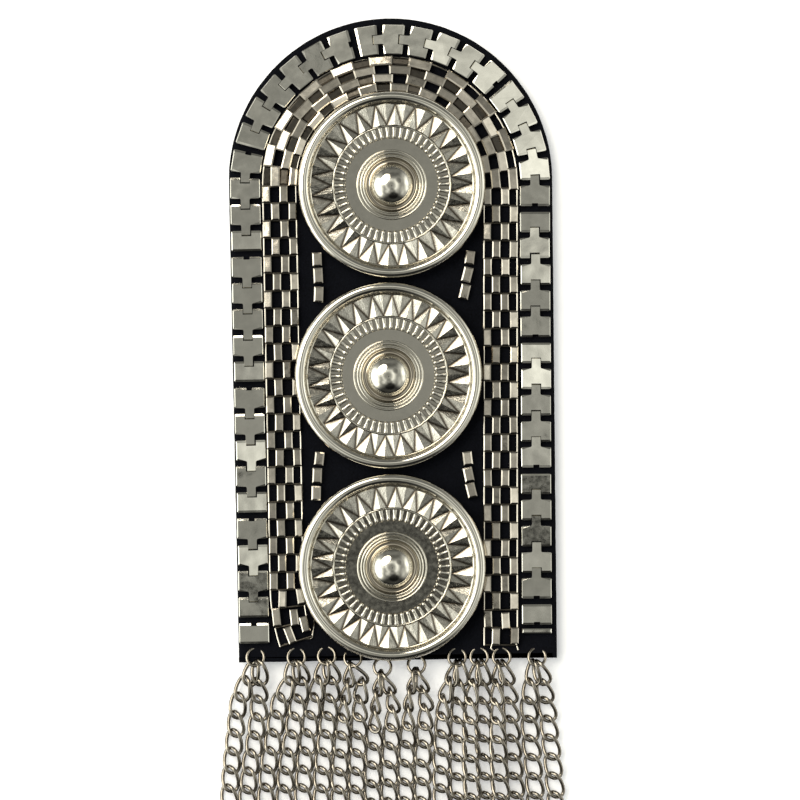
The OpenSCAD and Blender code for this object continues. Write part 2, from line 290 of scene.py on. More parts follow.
# The room that the metal reflects: heights from 0 at the horizon to 1 straight up, with the
# brightness there. The colour ramp holds it as shares of ROOM_FULL.
ROOM_LEVELS = (
    (0.0, 0.25), (0.12, 0.4), (0.3, 0.75), (0.52, 0.75), (0.66, 0.52), (0.8, 0.45),
    (0.88, 0.6), (0.94, 1.2), (1.0, 1.2),
)
ROOM_TINT = (1, 1.02, 0.955)
ROOM_FULL = 2.0
# Things in the room: direction, angle to their edge, angle to their middle, change of light.
ROOM_THINGS = (
    ((-0.03, -0.03, 1.0), 22, 6, -0.66),     # a low grey ceiling over the board
    ((0.0, -0.06, 1.0), 2.7, 1.6, -0.88),    # a small dark hole in it, seen in the lowest disc
    ((0.05, -0.97, 0.2), 56, 28, -0.93),     # a dark screen beyond the fringe, in three steps
    ((0.10, -0.72, 0.68), 22, 12, -0.8),
    ((0.04, -0.42, 0.90), 15, 7, -0.6),
    ((0.0, 0.92, 0.4), 50, 25, -0.7),        # a dark wall beyond the round end
    ((-0.95, -0.1, 0.25), 45, 20, 3.6),      # a bright window on the left
    ((0.97, 0.1, 0.15), 34, 16, 1.4),        # a dimmer one on the right
    ((-0.52, 0.10, 0.85), 13, 6, 1.0),       # lamps overhead
    ((-0.36, -0.44, 0.82), 9, 4, 0.8),
    ((0.45, 0.30, 0.83), 13, 7, -0.4),       # a dark beam between them
    ((-0.32, 0.62, 0.72), 11, 6, 1.8),
)

# The key light and the floor's half width, in metres.
KEY_PLACE = (-0.42, 0.40, 0.78)
KEY_AIM = (0, -0.01, 0)
KEY_SIZE = (0.8, 0.55)
FLOOR_HALF = 6.0
# How far the floor is under the felt, and where the camera is over it, in millimetres.
FLOOR_DROP = 0.03
CAMERA_SPOT = (1.31, -13.24)
CAMERA_TURN = -0.9  # degrees

# Most of a noise's values lie between these two.
NOISE_RANGE = {"From Min": 0.3, "From Max": 0.7}
MIX_A, MIX_B = 6, 7  # the two colours of a Mix node


def leg_x(track, y, side):
    """The x of a track's right leg, where side is 1, or of its left one, where it is -1."""
    lean = track[2] if side > 0 else track[3]
    return TRACK_CENTRE[0] + side * (track[0] - lean * (TRACK_CENTRE[1] - y) / leg_length(track))


def leg_length(track):
    return TRACK_CENTRE[1] - track[1]


def place_on(track, s):
    """The point at length s along a track, from its right foot, in millimetres."""
    leg, arc = leg_length(track), math.pi * track[0]
    if s < leg:
        y = track[1] + s
        return leg_x(track, y, 1), y
    if s < leg + arc:
        turn = (s - leg) / track[0]
        return (TRACK_CENTRE[0] + track[0] * math.cos(turn),
                TRACK_CENTRE[1] + track[0] * math.sin(turn))
    y = TRACK_CENTRE[1] - (s - leg - arc)
    bend_y, _, bend_r = BAND_BEND
    if track is BAND_TRACK and y < bend_y:
        turn = (bend_y - y) / bend_r
        return (leg_x(track, bend_y, -1) + bend_r * (1 - math.cos(turn)),
                bend_y - bend_r * math.sin(turn))
    return leg_x(track, y, -1), y


def band_length():
    return (leg_length(BAND_TRACK) + math.pi * BAND_TRACK[0]
            + TRACK_CENTRE[1] - BAND_BEND[0] + BAND_BEND[1])


# Meshes

def mesh_from(name, points, faces, smooth=None):
    """A mesh of points and faces. smooth is the largest angle in degrees that is shaded round."""
    mesh = bpy.data.meshes.new(name)
    mesh.from_pydata([tuple(p) for p in points], [], faces)
    work = bmesh.new()
    work.from_mesh(mesh)
    bmesh.ops.recalc_face_normals(work, faces=work.faces)
    work.to_mesh(mesh)
    work.free()
    if smooth is None:
        mesh.shade_flat()
    else:
        mesh.shade_smooth()
        mesh.set_sharp_from_angle(angle=math.radians(smooth))
    return mesh


def skin(name, rings, smooth=None, closed=False):
    """A skin over rings of equally many points. It joins the last to the first, or caps them."""
    n = len(rings[0])
    faces = []
    for k in range(len(rings) if closed else len(rings) - 1):
        low, high = k * n, (k + 1) % len(rings) * n
        for i in range(n):
            j = (i + 1) % n
            faces.append((low + i, low + j, high + j, high + i))
    if not closed:
        faces += [tuple(range(n)), tuple(range((len(rings) - 1) * n, len(rings) * n))]
    return mesh_from(name, [point for ring in rings for point in ring], faces, smooth)


def stacked(name, levels):
    """A solid through outlines of equally many points. Each level is (outline, height)."""
    return skin(name, [[(x, y, z) for x, y in outline] for outline, z in levels])


def tube(name, path, radius, sides, closed=False):
    """A round wire along a path, in metres."""
    path = [Vector(p) for p in path]
    rings = []
    side = Vector((0, 0, 1))
    for k, here in enumerate(path):
        before = path[k - 1] if closed or k else here
        after = path[(k + 1) % len(path)] if closed or k < len(path) - 1 else here
        along = (after - before).normalized()
        if abs(along.dot(side)) > 0.95:
            side = Vector((1, 0, 0))
        side = (side - along * side.dot(along)).normalized()
        other = along.cross(side)
        turns = [2 * math.pi * j / sides for j in range(sides)]
        rings.append([here + radius * (side * math.cos(a) + other * math.sin(a)) for a in turns])
    return skin(name, rings, 50, closed)


def lathe(name, profile, segments):
    """A solid of revolution. The profile's two ends are on the axis."""
    points, rings = [], []
    for radius, z in profile:
        count = 1 if radius == 0 else segments
        rings.append(range(len(points), len(points) + count))
        for i in range(count):
            turn = 2 * math.pi * i / segments
            points.append((radius * math.cos(turn), radius * math.sin(turn), z))
    faces = []
    for low, high in zip(rings, rings[1:]):
        for i in range(segments):
            j = (i + 1) % segments
            corners = [low[i % len(low)], high[i % len(high)],
                       high[j % len(high)], low[j % len(low)]]
            faces.append(tuple(dict.fromkeys(corners)))
    return mesh_from(name, points, faces, 32)


def chamfered_bar(name, length, width, height, chamfer, drop):
    """A bar along X that lies flat. All round its top a wide, shallow chamfer catches the light."""
    def ring(inset):
        return [(x * (length / 2 - inset), y * (width / 2 - inset))
                for x, y in ((-1, -1), (1, -1), (1, 1), (-1, 1))]

    return stacked(name, [(ring(0.1 * chamfer), 0), (ring(0), 0.3 * height),
                          (ring(0), height - 2.2 * drop), (ring(0.2 * chamfer), height - drop),
                          (ring(chamfer), height)])


def points_mesh(name, places):
    """Loose points that say how a shape is turned and sized there. A place is these three."""
    mesh = bpy.data.meshes.new(name)
    mesh.from_pydata([spot for spot, _, _ in places], [], [])
    for key, column in (("turn", 1), ("size", 2)):
        layer = mesh.attributes.new(key, "FLOAT_VECTOR", "POINT")
        for i, place in enumerate(places):
            layer.data[i].vector = place[column]
    return mesh


def line_mesh(name, path, rolls=None):
    """A line of points joined by edges, and with a roll at each of them if rolls are given."""
    mesh = bpy.data.meshes.new(name)
    mesh.from_pydata(path, [(i, i + 1) for i in range(len(path) - 1)], [])
    if rolls:
        mesh.attributes.new("roll", "FLOAT", "POINT").data.foreach_set("value", rolls)
    return mesh


def joined(name, meshes):
    """One mesh made of several, with their materials kept."""
    work = bmesh.new()
    materials = []
    for mesh in meshes:
        first = len(work.faces)
        work.from_mesh(mesh)
        work.faces.ensure_lookup_table()
        for material in mesh.materials:
            if material not in materials:
                materials.append(material)
        for face in work.faces[first:]:
            face.material_index = materials.index(mesh.materials[face.material_index])
    made = bpy.data.meshes.new(name)
    work.to_mesh(made)
    work.free()
    for material in materials:
        made.materials.append(material)
    return made


def with_material(mesh, material):
    mesh.materials.clear()
    mesh.materials.append(material)
    return mesh


def piece(name, mesh, node):
    """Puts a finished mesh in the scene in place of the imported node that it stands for."""
    obj = bpy.data.objects.new(name, mesh)
    bpy.context.scene.collection.objects.link(obj)
    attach(obj, "root")
    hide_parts(node)


# Node trees

def add_node(tree, kind, inputs=None, **settings):
    """Adds a node with its settings, and with values or links on its inputs.

    An input takes a value, an output, or a node, which gives the first output that it uses.
    """
    node = tree.nodes.new(kind)
    for key, value in settings.items():
        setattr(node, key, value)
    for key, value in (inputs or {}).items():
        if isinstance(value, bpy.types.Node):
            value = next(output for output in value.outputs if output.enabled)
        if isinstance(value, bpy.types.NodeSocket):
            tree.links.new(value, node.inputs[key])
        else:
            node.inputs[key].default_value = value
    return node


def new_tree(name, sockets):
    """An empty geometry tree with these named inputs, and its input node's outputs."""
    tree = bpy.data.node_groups.new(name, "GeometryNodeTree")
    tree.interface.new_socket(name="Result", in_out="OUTPUT", socket_type="NodeSocketGeometry")
    for label, kind in sockets.items():
        tree.interface.new_socket(name=label, in_out="INPUT", socket_type="NodeSocket" + kind)
    return tree, add_node(tree, "NodeGroupInput").outputs


def realised(tree, instances, finish):
    """Real meshes of the instances, with their material."""
    real = add_node(tree, "GeometryNodeRealizeInstances", {"Geometry": instances})
    return add_node(tree, "GeometryNodeSetMaterial", {"Geometry": real, "Material": finish})


def shapes_on(tree, points, shape):
    """The shape on each point, turned and sized as the point says."""
    turn, size = (add_node(tree, "GeometryNodeInputNamedAttribute", {"Name": key},
                           data_type="FLOAT_VECTOR") for key in ("turn", "size"))
    rotation = add_node(tree, "FunctionNodeEulerToRotation", {"Euler": turn})
    source = add_node(tree, "GeometryNodeObjectInfo", {"Object": shape})
    return add_node(tree, "GeometryNodeInstanceOnPoints", {
        "Points": points, "Instance": source.outputs["Geometry"], "Rotation": rotation,
        "Scale": size})


def tree_set_on_places():
    """Sets a shape on every place."""
    tree, given = new_tree("set_on_places", {
        "Places": "Geometry", "Shape": "Object", "Finish": "Material"})
    made = realised(tree, shapes_on(tree, given["Places"], given["Shape"]), given["Finish"])
    add_node(tree, "NodeGroupOutput", {"Result": made})
    return tree


def tree_lay_on_track():
    """Sets a shape on places of a straight strip, and lays the strip along a track."""
    tree, given = new_tree("lay_on_track", {
        "Places": "Geometry", "Track": "Object", "Lead": "Float", "Shape": "Object",
        "Finish": "Material"})
    line = add_node(tree, "GeometryNodeObjectInfo", {"Object": given["Track"]})
    curve = add_node(tree, "GeometryNodeMeshToCurve", {"Mesh": line.outputs["Geometry"]})
    strip = realised(tree, shapes_on(tree, given["Places"], given["Shape"]), given["Finish"])
    position = add_node(tree, "GeometryNodeInputPosition")
    flat = add_node(tree, "ShaderNodeSeparateXYZ", {"Vector": position}).outputs
    length = add_node(tree, "ShaderNodeMath", {0: flat["X"], 1: given["Lead"]}, operation="ADD")
    spot = add_node(tree, "GeometryNodeSampleCurve", {"Curves": curve, "Length": length},
                    mode="LENGTH").outputs
    left = add_node(tree, "ShaderNodeVectorMath", {0: (0, 0, 1), 1: spot["Tangent"]},
                    operation="CROSS_PRODUCT")
    across = add_node(tree, "ShaderNodeVectorMath", {0: left, "Scale": flat["Y"]},
                      operation="SCALE")
    height = add_node(tree, "ShaderNodeCombineXYZ", {"Z": flat["Z"]})
    level = add_node(tree, "ShaderNodeVectorMath", {0: spot["Position"], 1: across},
                     operation="ADD")
    laid_spot = add_node(tree, "ShaderNodeVectorMath", {0: level, 1: height}, operation="ADD")
    made = add_node(tree, "GeometryNodeSetPosition", {"Geometry": strip, "Position": laid_spot})
    add_node(tree, "NodeGroupOutput", {"Result": made})
    return tree


def tree_repeat_round():
    """Repeats a shape round the middle of a turned body."""
    tree, given = new_tree("repeat_round", {
        "Body": "Geometry", "Shape": "Object", "Count": "Int", "First Turn": "Float",
        "Finish": "Material"})
    points = add_node(tree, "GeometryNodePoints", {"Count": given["Count"]})
    index = add_node(tree, "GeometryNodeInputIndex")
    share = add_node(tree, "ShaderNodeMath", {0: index, 1: given["Count"]}, operation="DIVIDE")
    turn = add_node(tree, "ShaderNodeMath", {0: share, 1: math.tau, 2: given["First Turn"]},
                    operation="MULTIPLY_ADD")
    euler = add_node(tree, "ShaderNodeCombineXYZ", {"Z": turn})
    rotation = add_node(tree, "FunctionNodeEulerToRotation", {"Euler": euler})
    shape = add_node(tree, "GeometryNodeObjectInfo", {"Object": given["Shape"]})
    ring = add_node(tree, "GeometryNodeInstanceOnPoints", {
        "Points": points, "Instance": shape.outputs["Geometry"], "Rotation": rotation})
    relief = realised(tree, ring, given["Finish"])
    both = add_node(tree, "GeometryNodeJoinGeometry", {"Geometry": relief})
    tree.links.new(given["Body"], both.inputs["Geometry"])
    add_node(tree, "NodeGroupOutput", {"Result": both})
    return tree


def tree_links_on_path():
    """Curb links along a path. Each link is an oval of wire whose ends cross its neighbours'."""
    tree, given = new_tree("links_on_path", {
        "Path": "Geometry", "Pitch": "Float", "Half Width": "Float", "Half Length": "Float",
        "Twist": "Float", "Slant": "Float", "Wire Radius": "Float", "Jitter": "Float",
        "Seed": "Int", "Finish": "Material"})
    roll = add_node(tree, "GeometryNodeInputNamedAttribute", {"Name": "roll"}, data_type="FLOAT")
    curve = add_node(tree, "GeometryNodeMeshToCurve", {"Mesh": given["Path"]})
    level = add_node(tree, "GeometryNodeSetCurveNormal", {"Curve": curve}, mode="Z_UP")
    rolled = add_node(tree, "GeometryNodeSetCurveTilt", {"Curve": level, "Tilt": roll})
    points = add_node(tree, "GeometryNodeCurveToPoints", {
        "Curve": rolled, "Length": given["Pitch"]}, mode="LENGTH")
    minus = add_node(tree, "ShaderNodeMath", {0: given["Jitter"], 1: -1.0}, operation="MULTIPLY")
    low = add_node(tree, "ShaderNodeCombineXYZ", {"Y": minus, "Z": minus})
    high = add_node(tree, "ShaderNodeCombineXYZ", {"Y": given["Jitter"], "Z": given["Jitter"]})
    shake = add_node(tree, "FunctionNodeRandomValue", {0: low, 1: high, "Seed": given["Seed"]},
                     data_type="FLOAT_VECTOR")
    shaken = add_node(tree, "FunctionNodeEulerToRotation", {"Euler": shake})
    rotation = add_node(tree, "FunctionNodeRotateRotation", {
        "Rotation": points.outputs["Rotation"], "Rotate By": shaken}, rotation_space="LOCAL")

    # The link's middle line, over one turn t: its width, its twist and its length. A third wave
    # makes the oval fuller, and its ends slant the way that their wires cross.
    oval = add_node(tree, "GeometryNodeCurvePrimitiveCircle", {"Resolution": 22, "Radius": 1.0})
    share = add_node(tree, "GeometryNodeSplineParameter")
    t = add_node(tree, "ShaderNodeMath", {0: share, 1: math.tau}, operation="MULTIPLY")

    def wave(times, operation="SINE"):
        angle = add_node(tree, "ShaderNodeMath", {0: t, 1: float(times)}, operation="MULTIPLY")
        return add_node(tree, "ShaderNodeMath", {0: angle}, operation=operation)

    fuller = add_node(tree, "ShaderNodeMath", {0: wave(3), 1: LINK_FULLNESS, 2: wave(1)},
                      operation="MULTIPLY_ADD")
    slanted = add_node(tree, "ShaderNodeMath", {0: wave(1, "COSINE"), 1: given["Slant"]},
                       operation="MULTIPLY")
    x = add_node(tree, "ShaderNodeMath", {0: fuller, 1: given["Half Width"], 2: slanted},
                 operation="MULTIPLY_ADD")
    other_way = add_node(tree, "ShaderNodeMath", {0: given["Twist"], 1: -1.0},
                         operation="MULTIPLY")
    y = add_node(tree, "ShaderNodeMath", {0: wave(2), 1: other_way}, operation="MULTIPLY")
    z = add_node(tree, "ShaderNodeMath", {0: wave(1, "COSINE"), 1: given["Half Length"]},
                 operation="MULTIPLY")
    spot = add_node(tree, "ShaderNodeCombineXYZ", {"X": x, "Y": y, "Z": z})
    middle = add_node(tree, "GeometryNodeSetPosition", {"Geometry": oval, "Position": spot})
    section = add_node(tree, "GeometryNodeCurvePrimitiveCircle", {
        "Resolution": 7, "Radius": given["Wire Radius"]})
    link = add_node(tree, "GeometryNodeCurveToMesh", {"Curve": middle, "Profile Curve": section})
    smooth = add_node(tree, "GeometryNodeSetShadeSmooth", {"Geometry": link})
    chain = add_node(tree, "GeometryNodeInstanceOnPoints", {
        "Points": points, "Instance": smooth, "Rotation": rotation})
    add_node(tree, "NodeGroupOutput", {"Result": realised(tree, chain, given["Finish"])})
    return tree


def tree_named(name):
    """The node tree of that name, built when it is first asked for."""
    builders = {"set_on_places": tree_set_on_places, "lay_on_track": tree_lay_on_track,
                "repeat_round": tree_repeat_round, "links_on_path": tree_links_on_path}
    return bpy.data.node_groups.get(name) or builders[name]()


def grown(name, mesh, *steps):
    """The plain mesh that trees make of a mesh. A step is a tree's name and its inputs."""
    obj = bpy.data.objects.new(name, mesh)
    bpy.context.scene.collection.objects.link(obj)
    for tree_name, values in steps:
        tree = tree_named(tree_name)
        step = obj.modifiers.new(tree_name, "NODES")
        step.node_group = tree
        sockets = {s.name: s.identifier for s in tree.interface.items_tree
                   if s.item_type == "SOCKET" and s.in_out == "INPUT"}
        for key, value in values.items():
            step[sockets[key]] = value
    graph = bpy.context.evaluated_depsgraph_get()
    made = bpy.data.meshes.new_from_object(obj.evaluated_get(graph), depsgraph=graph)
    made.name = name
    obj.modifiers.clear()
    bpy.data.objects.remove(obj)
    if not made.polygons:
        raise RuntimeError(f"{name} came out empty")
    return made


def laid(name, track, shape, places, finish):
    """A shape on its places along a track, as one mesh."""
    return grown(name, points_mesh(name + "_places", places), ("lay_on_track", {
        "Track": track, "Lead": TRACK_LEAD * MM, "Shape": shape, "Finish": finish}))


def pattern(mesh):
    """A shape that a tree repeats, as an object that is taken away afterwards."""
    obj = bpy.data.objects.new("pattern_" + mesh.name, mesh)
    bpy.context.scene.collection.objects.link(obj)
    return obj


def track_object(name, track, length):
    """The middle line of a track as an object, from a little before its foot."""
    steps = int((length + 2 * TRACK_LEAD) / TRACK_STEP)
    path = []
    for i in range(steps + 1):
        x, y = place_on(track, -TRACK_LEAD + (length + 2 * TRACK_LEAD) * i / steps)
        path.append((x * MM, y * MM, 0))
    return pattern(line_mesh(name, path))


def put_away(*objects):
    for obj in objects:
        bpy.data.objects.remove(obj)


# Materials

def new_material(name):
    """An empty material, its tree, and the place on the piece as its nodes read it."""
    material = bpy.data.materials.new(name)
    material.use_nodes = True
    tree = material.node_tree
    tree.nodes.clear()
    return material, tree, add_node(tree, "ShaderNodeTexCoord").outputs["Object"]


def shaded(material, inputs):
    """The material with its one shader, which has these inputs."""
    shader = add_node(material.node_tree, "ShaderNodeBsdfPrincipled", inputs)
    add_node(material.node_tree, "ShaderNodeOutputMaterial", {"Surface": shader})
    return material


def mottled(tree, place, size, dark, bright):
    """A colour that wanders between two, in patches of this size in millimetres."""
    patches = add_node(tree, "ShaderNodeTexNoise", {
        "Vector": place, "Scale": 1 / (size * MM), "Detail": 3.0})
    share = add_node(tree, "ShaderNodeMapRange", {"Value": patches, **NOISE_RANGE})
    return add_node(tree, "ShaderNodeMix", {"Factor": share, MIX_A: dark, MIX_B: bright},
                    data_type="RGBA")


def felt_material(settings):
    """Pressed wool felt: matt and nearly black, with a short nap of matted fibres."""
    material, tree, place = new_material("pressed_wool_felt")
    # The real fibres are 0.03 mm thick. They are drawn 0.35 mm apart so that they show.
    fibres, pills = (
        add_node(tree, "ShaderNodeTexNoise", {
            "Vector": place, "Scale": 1 / (size * MM), "Detail": detail})
        for size, detail in ((0.35, 6.0), (1.2, 3.0)))
    dark = mottled(tree, place, 4.0, rgba(settings.colour, 0.7), rgba(settings.colour, 1.25))
    tips = add_node(tree, "ShaderNodeMapRange", {
        "Value": fibres, "From Min": 0.35, "From Max": 0.75})
    colour = add_node(tree, "ShaderNodeMix", {
        "Factor": tips, MIX_A: dark, MIX_B: rgba(settings.colour, 1.9)}, data_type="RGBA")
    soft = add_node(tree, "ShaderNodeBump", {"Height": pills, "Distance": 0.12 * MM})
    nap = add_node(tree, "ShaderNodeBump", {
        "Height": fibres, "Distance": 0.10 * MM, "Normal": soft})
    return shaded(material, {
        "Base Color": colour, "Normal": nap, "Roughness": 0.95, "Specular IOR Level": 0.1,
        "Sheen Weight": 0.02, "Sheen Roughness": 0.6, "Sheen Tint": rgba(linear("#4a4e66"))})


def metal_material(name, colour, roughness, waves, grain, tarnish=0.12, valley_shade=None,
                   brushed=False):
    """Bright nickel plate over a base metal, with uneven polish, waves and a fine grain.

    Nickel gives a slightly warm silver. The waves and the grain each have a size and a depth in
    millimetres. The valley shade is painted shade: a darker colour for the low parts, where shade
    falls, and the two heights between which it turns to the metal's own. A brushed metal's grain
    follows the mesh's "grain" vector.
    """
    material, tree, place = new_material(name)
    grain_place = place
    if brushed:
        along = add_node(tree, "ShaderNodeAttribute", attribute_name="grain").outputs["Vector"]
        grain_place = add_node(tree, "ShaderNodeVectorMath", {
            0: place, 1: (0.25, 0.25, 0.25), 2: along}, operation="MULTIPLY_ADD")
    smear, wavy, grainy = (
        add_node(tree, "ShaderNodeTexNoise", {
            "Vector": spot, "Scale": 1 / (size * MM), "Detail": detail})
        for spot, size, detail in ((place, 0.9, 4.0), (place, waves[0], 1.0),
                                   (grain_place, grain[0], 3.0)))
    plain = mottled(tree, place, 2.6, rgba(colour, 1 - tarnish), rgba(colour))
    # Painted shade: below the given heights the colour turns to a darker one, for the low parts
    # where shade falls.
    if valley_shade:
        valley_shade_colour, low, high = valley_shade
        height = add_node(tree, "ShaderNodeSeparateXYZ", {"Vector": place}).outputs["Z"]
        reach = add_node(tree, "ShaderNodeMapRange", {
            "Value": height, "From Min": low * MM, "From Max": high * MM})
        plain = add_node(tree, "ShaderNodeMix", {
            "Factor": reach, MIX_A: rgba(valley_shade_colour), MIX_B: plain}, data_type="RGBA")
    polish = add_node(tree, "ShaderNodeMapRange", {
        "Value": smear, **NOISE_RANGE, "To Min": roughness * 0.75, "To Max": roughness * 1.5})
    rolling = add_node(tree, "ShaderNodeBump", {"Height": wavy, "Distance": waves[1] * MM})
    fine = add_node(tree, "ShaderNodeBump", {
        "Height": grainy, "Distance": grain[1] * MM, "Normal": rolling})
    return shaded(material, {
        "Base Color": plain, "Roughness": polish, "Metallic": 1.0, "Normal": fine})


def floor_material(settings):
    """Matt white acrylic over a lamp, as on a light table, with a very slight mottle."""
    material, tree, place = new_material("matt_white_acrylic")
    white = settings.floor_colour
    colour = mottled(tree, place, 40.0, rgba(white, 0.985), rgba(white))
    return shaded(material, {
        "Base Color": colour, "Roughness": 0.8, "Specular IOR Level": 0.2,
        "Emission Color": (1.0, 1.0, 1.0, 1.0), "Emission Strength": 0.3})


# Operators

class EPAULETTE_OT_stage(bpy.types.Operator):
    """Makes the floor, the studio light and the camera"""
    bl_idname = "epaulette.stage"
    bl_label = "Stage"

    def execute(self, context):
        settings = context.scene.epaulette.stage
        self.room(context)
        self.key_light(context, settings)
        self.floor(context, settings)
        self.camera(context, settings)
        context.scene.view_settings.view_transform = "Standard"
        return {"FINISHED"}

    def room(self, context):
        """A room that is grey straight above and bright round it, with things that reflect."""
        world = bpy.data.worlds.new("studio")
        context.scene.world = world
        world.use_nodes = True
        tree = world.node_tree
        tree.nodes.clear()
        place = add_node(tree, "ShaderNodeTexCoord")
        towards = add_node(tree, "ShaderNodeVectorMath", {0: place}, operation="NORMALIZE")
        up = add_node(tree, "ShaderNodeSeparateXYZ", {"Vector": towards}).outputs["Z"]
        ramp = add_node(tree, "ShaderNodeValToRGB", {"Fac": up})
        ramp.color_ramp.elements[0].position = ROOM_LEVELS[0][0]
        ramp.color_ramp.elements[1].position = ROOM_LEVELS[-1][0]
        for height, _ in ROOM_LEVELS[1:-1]:
            ramp.color_ramp.elements.new(height)
        for element, (_, light) in zip(ramp.color_ramp.elements, ROOM_LEVELS):
            element.color = (*(light / ROOM_FULL * share for share in ROOM_TINT), 1)

        level = 1.0
        for direction, edge, middle, change in ROOM_THINGS:
            near = add_node(tree, "ShaderNodeVectorMath", {
                0: towards, 1: Vector(direction).normalized()}, operation="DOT_PRODUCT")
            light = add_node(tree, "ShaderNodeMapRange", {
                "Value": near, "From Min": math.cos(math.radians(edge)),
                "From Max": math.cos(math.radians(middle)), "To Min": 1.0,
                "To Max": 1.0 + change}, interpolation_type="SMOOTHSTEP")
            level = add_node(tree, "ShaderNodeMath", {0: level, 1: light}, operation="MULTIPLY")
        clutter = add_node(tree, "ShaderNodeTexNoise", {
            "Vector": towards, "Scale": 2.6, "Detail": 1.0})
        uneven = add_node(tree, "ShaderNodeMapRange", {
            "Value": clutter, "From Min": 0.35, "From Max": 0.65, "To Min": 0.75, "To Max": 1.25})
        level = add_node(tree, "ShaderNodeMath", {0: level, 1: uneven}, operation="MULTIPLY")
        strength = add_node(tree, "ShaderNodeMath", {0: level, 1: ROOM_FULL},
                            operation="MULTIPLY")
        room = add_node(tree, "ShaderNodeBackground", {"Color": ramp, "Strength": strength})
        add_node(tree, "ShaderNodeOutputWorld", {"Surface": room})

    def key_light(self, context, settings):
        lamp = bpy.data.lights.new("key_light", "AREA")
        lamp.shape = "ELLIPSE"
        lamp.size, lamp.size_y = KEY_SIZE
        lamp.energy = settings.key_power
        lamp.color = linear("#fdf6e6")
        obj = bpy.data.objects.new("key_light", lamp)
        obj.location = KEY_PLACE
        obj.rotation_euler = (Vector(KEY_AIM) - obj.location).to_track_quat("-Z", "Y").to_euler()
        obj.visible_camera = False
        context.scene.collection.objects.link(obj)

    def floor(self, context, settings):
        half, low = FLOOR_HALF, -FLOOR_DROP * MM
        mesh = mesh_from("floor", [(-half, -half, low), (half, -half, low),
                                   (half, half, low), (-half, half, low)], [(0, 1, 2, 3)])
        floor = bpy.data.objects.new("floor", with_material(mesh, floor_material(settings)))
        context.scene.collection.objects.link(floor)

    def camera(self, context, settings):
        """Straight above the board, and turned a little, as the photo was framed."""
        data = bpy.data.cameras.new("camera")
        data.lens = data.sensor_width * settings.camera_height / settings.frame_width
        data.clip_start, data.clip_end = 0.01, 30.0
        camera = bpy.data.objects.new("camera", data)
        x, y = CAMERA_SPOT
        camera.location = (x * MM, y * MM, FELT_TOP + settings.camera_height)
        camera.rotation_euler = (0, 0, math.radians(CAMERA_TURN))
        context.scene.collection.objects.link(camera)
        context.scene.camera = camera


class EPAULETTE_OT_felt_board(bpy.types.Operator):
    """Makes the felt board with its rounded, hand-cut edge"""
    bl_idname = "epaulette.felt_board"
    bl_label = "Felt board"

    def execute(self, context):
        settings = context.scene.epaulette.felt
        outline = self.outline(settings)
        r, t, n = settings.edge_round, settings.thickness, len(outline)
        # Rings up the cut edge: how far in, and how high.
        levels = ((3 * r, 0), (r, 0), (0.3 * r, 0.3 * r), (0, r), (0.25 * r, 0.5 * t), (0, t - r),
                  (0.3 * r, t - 0.3 * r), (r, t), (3 * r, t))
        rng = random.Random(4)
        wander = [rng.uniform(-1, 1) for _ in range(n)]
        wander = [(wander[i - 1] + 2 * wander[i] + wander[(i + 1) % n]) / 4 for i in range(n)]
        rings = []
        for k, (inset, z) in enumerate(levels):
            ring = []
            for i, (spot, out) in enumerate(outline):
                shift = settings.edge_wobble * (wander[i] + 0.5 * wander[(i * 3 + k * 7) % n])
                ring.append((*(spot - out * (inset + abs(shift))), z))
            rings.append(ring)
        mesh = with_material(skin("felt_board_soft", rings, 40), felt_material(settings))
        piece("felt_board_soft", mesh, "felt_board")
        return {"FINISHED"}

    def outline(self, settings):
        """Points about 1 mm apart round the board, each with the direction outwards."""
        radius = settings.round_width / 2
        top = settings.length / 2 - radius
        foot, low = settings.foot_width / 2, -settings.length / 2
        step = 1.0 * MM
        made = []

        def straight(start, end):
            start, end = Vector(start), Vector(end)
            along = end - start
            out = Vector((along.y, -along.x)).normalized()
            count = max(1, round(along.length / step))
            for i in range(count):
                made.append((start + along * (i / count), out))

        straight((-foot, low), (foot, low))
        straight((foot, low), (radius, top))
        count = round(math.pi * radius / step)
        for i in range(count):
            turn = math.pi * i / count
            out = Vector((math.cos(turn), math.sin(turn)))
            made.append((Vector((0, top)) + out * radius, out))
        straight((-radius, top), (-foot, low))
        return made


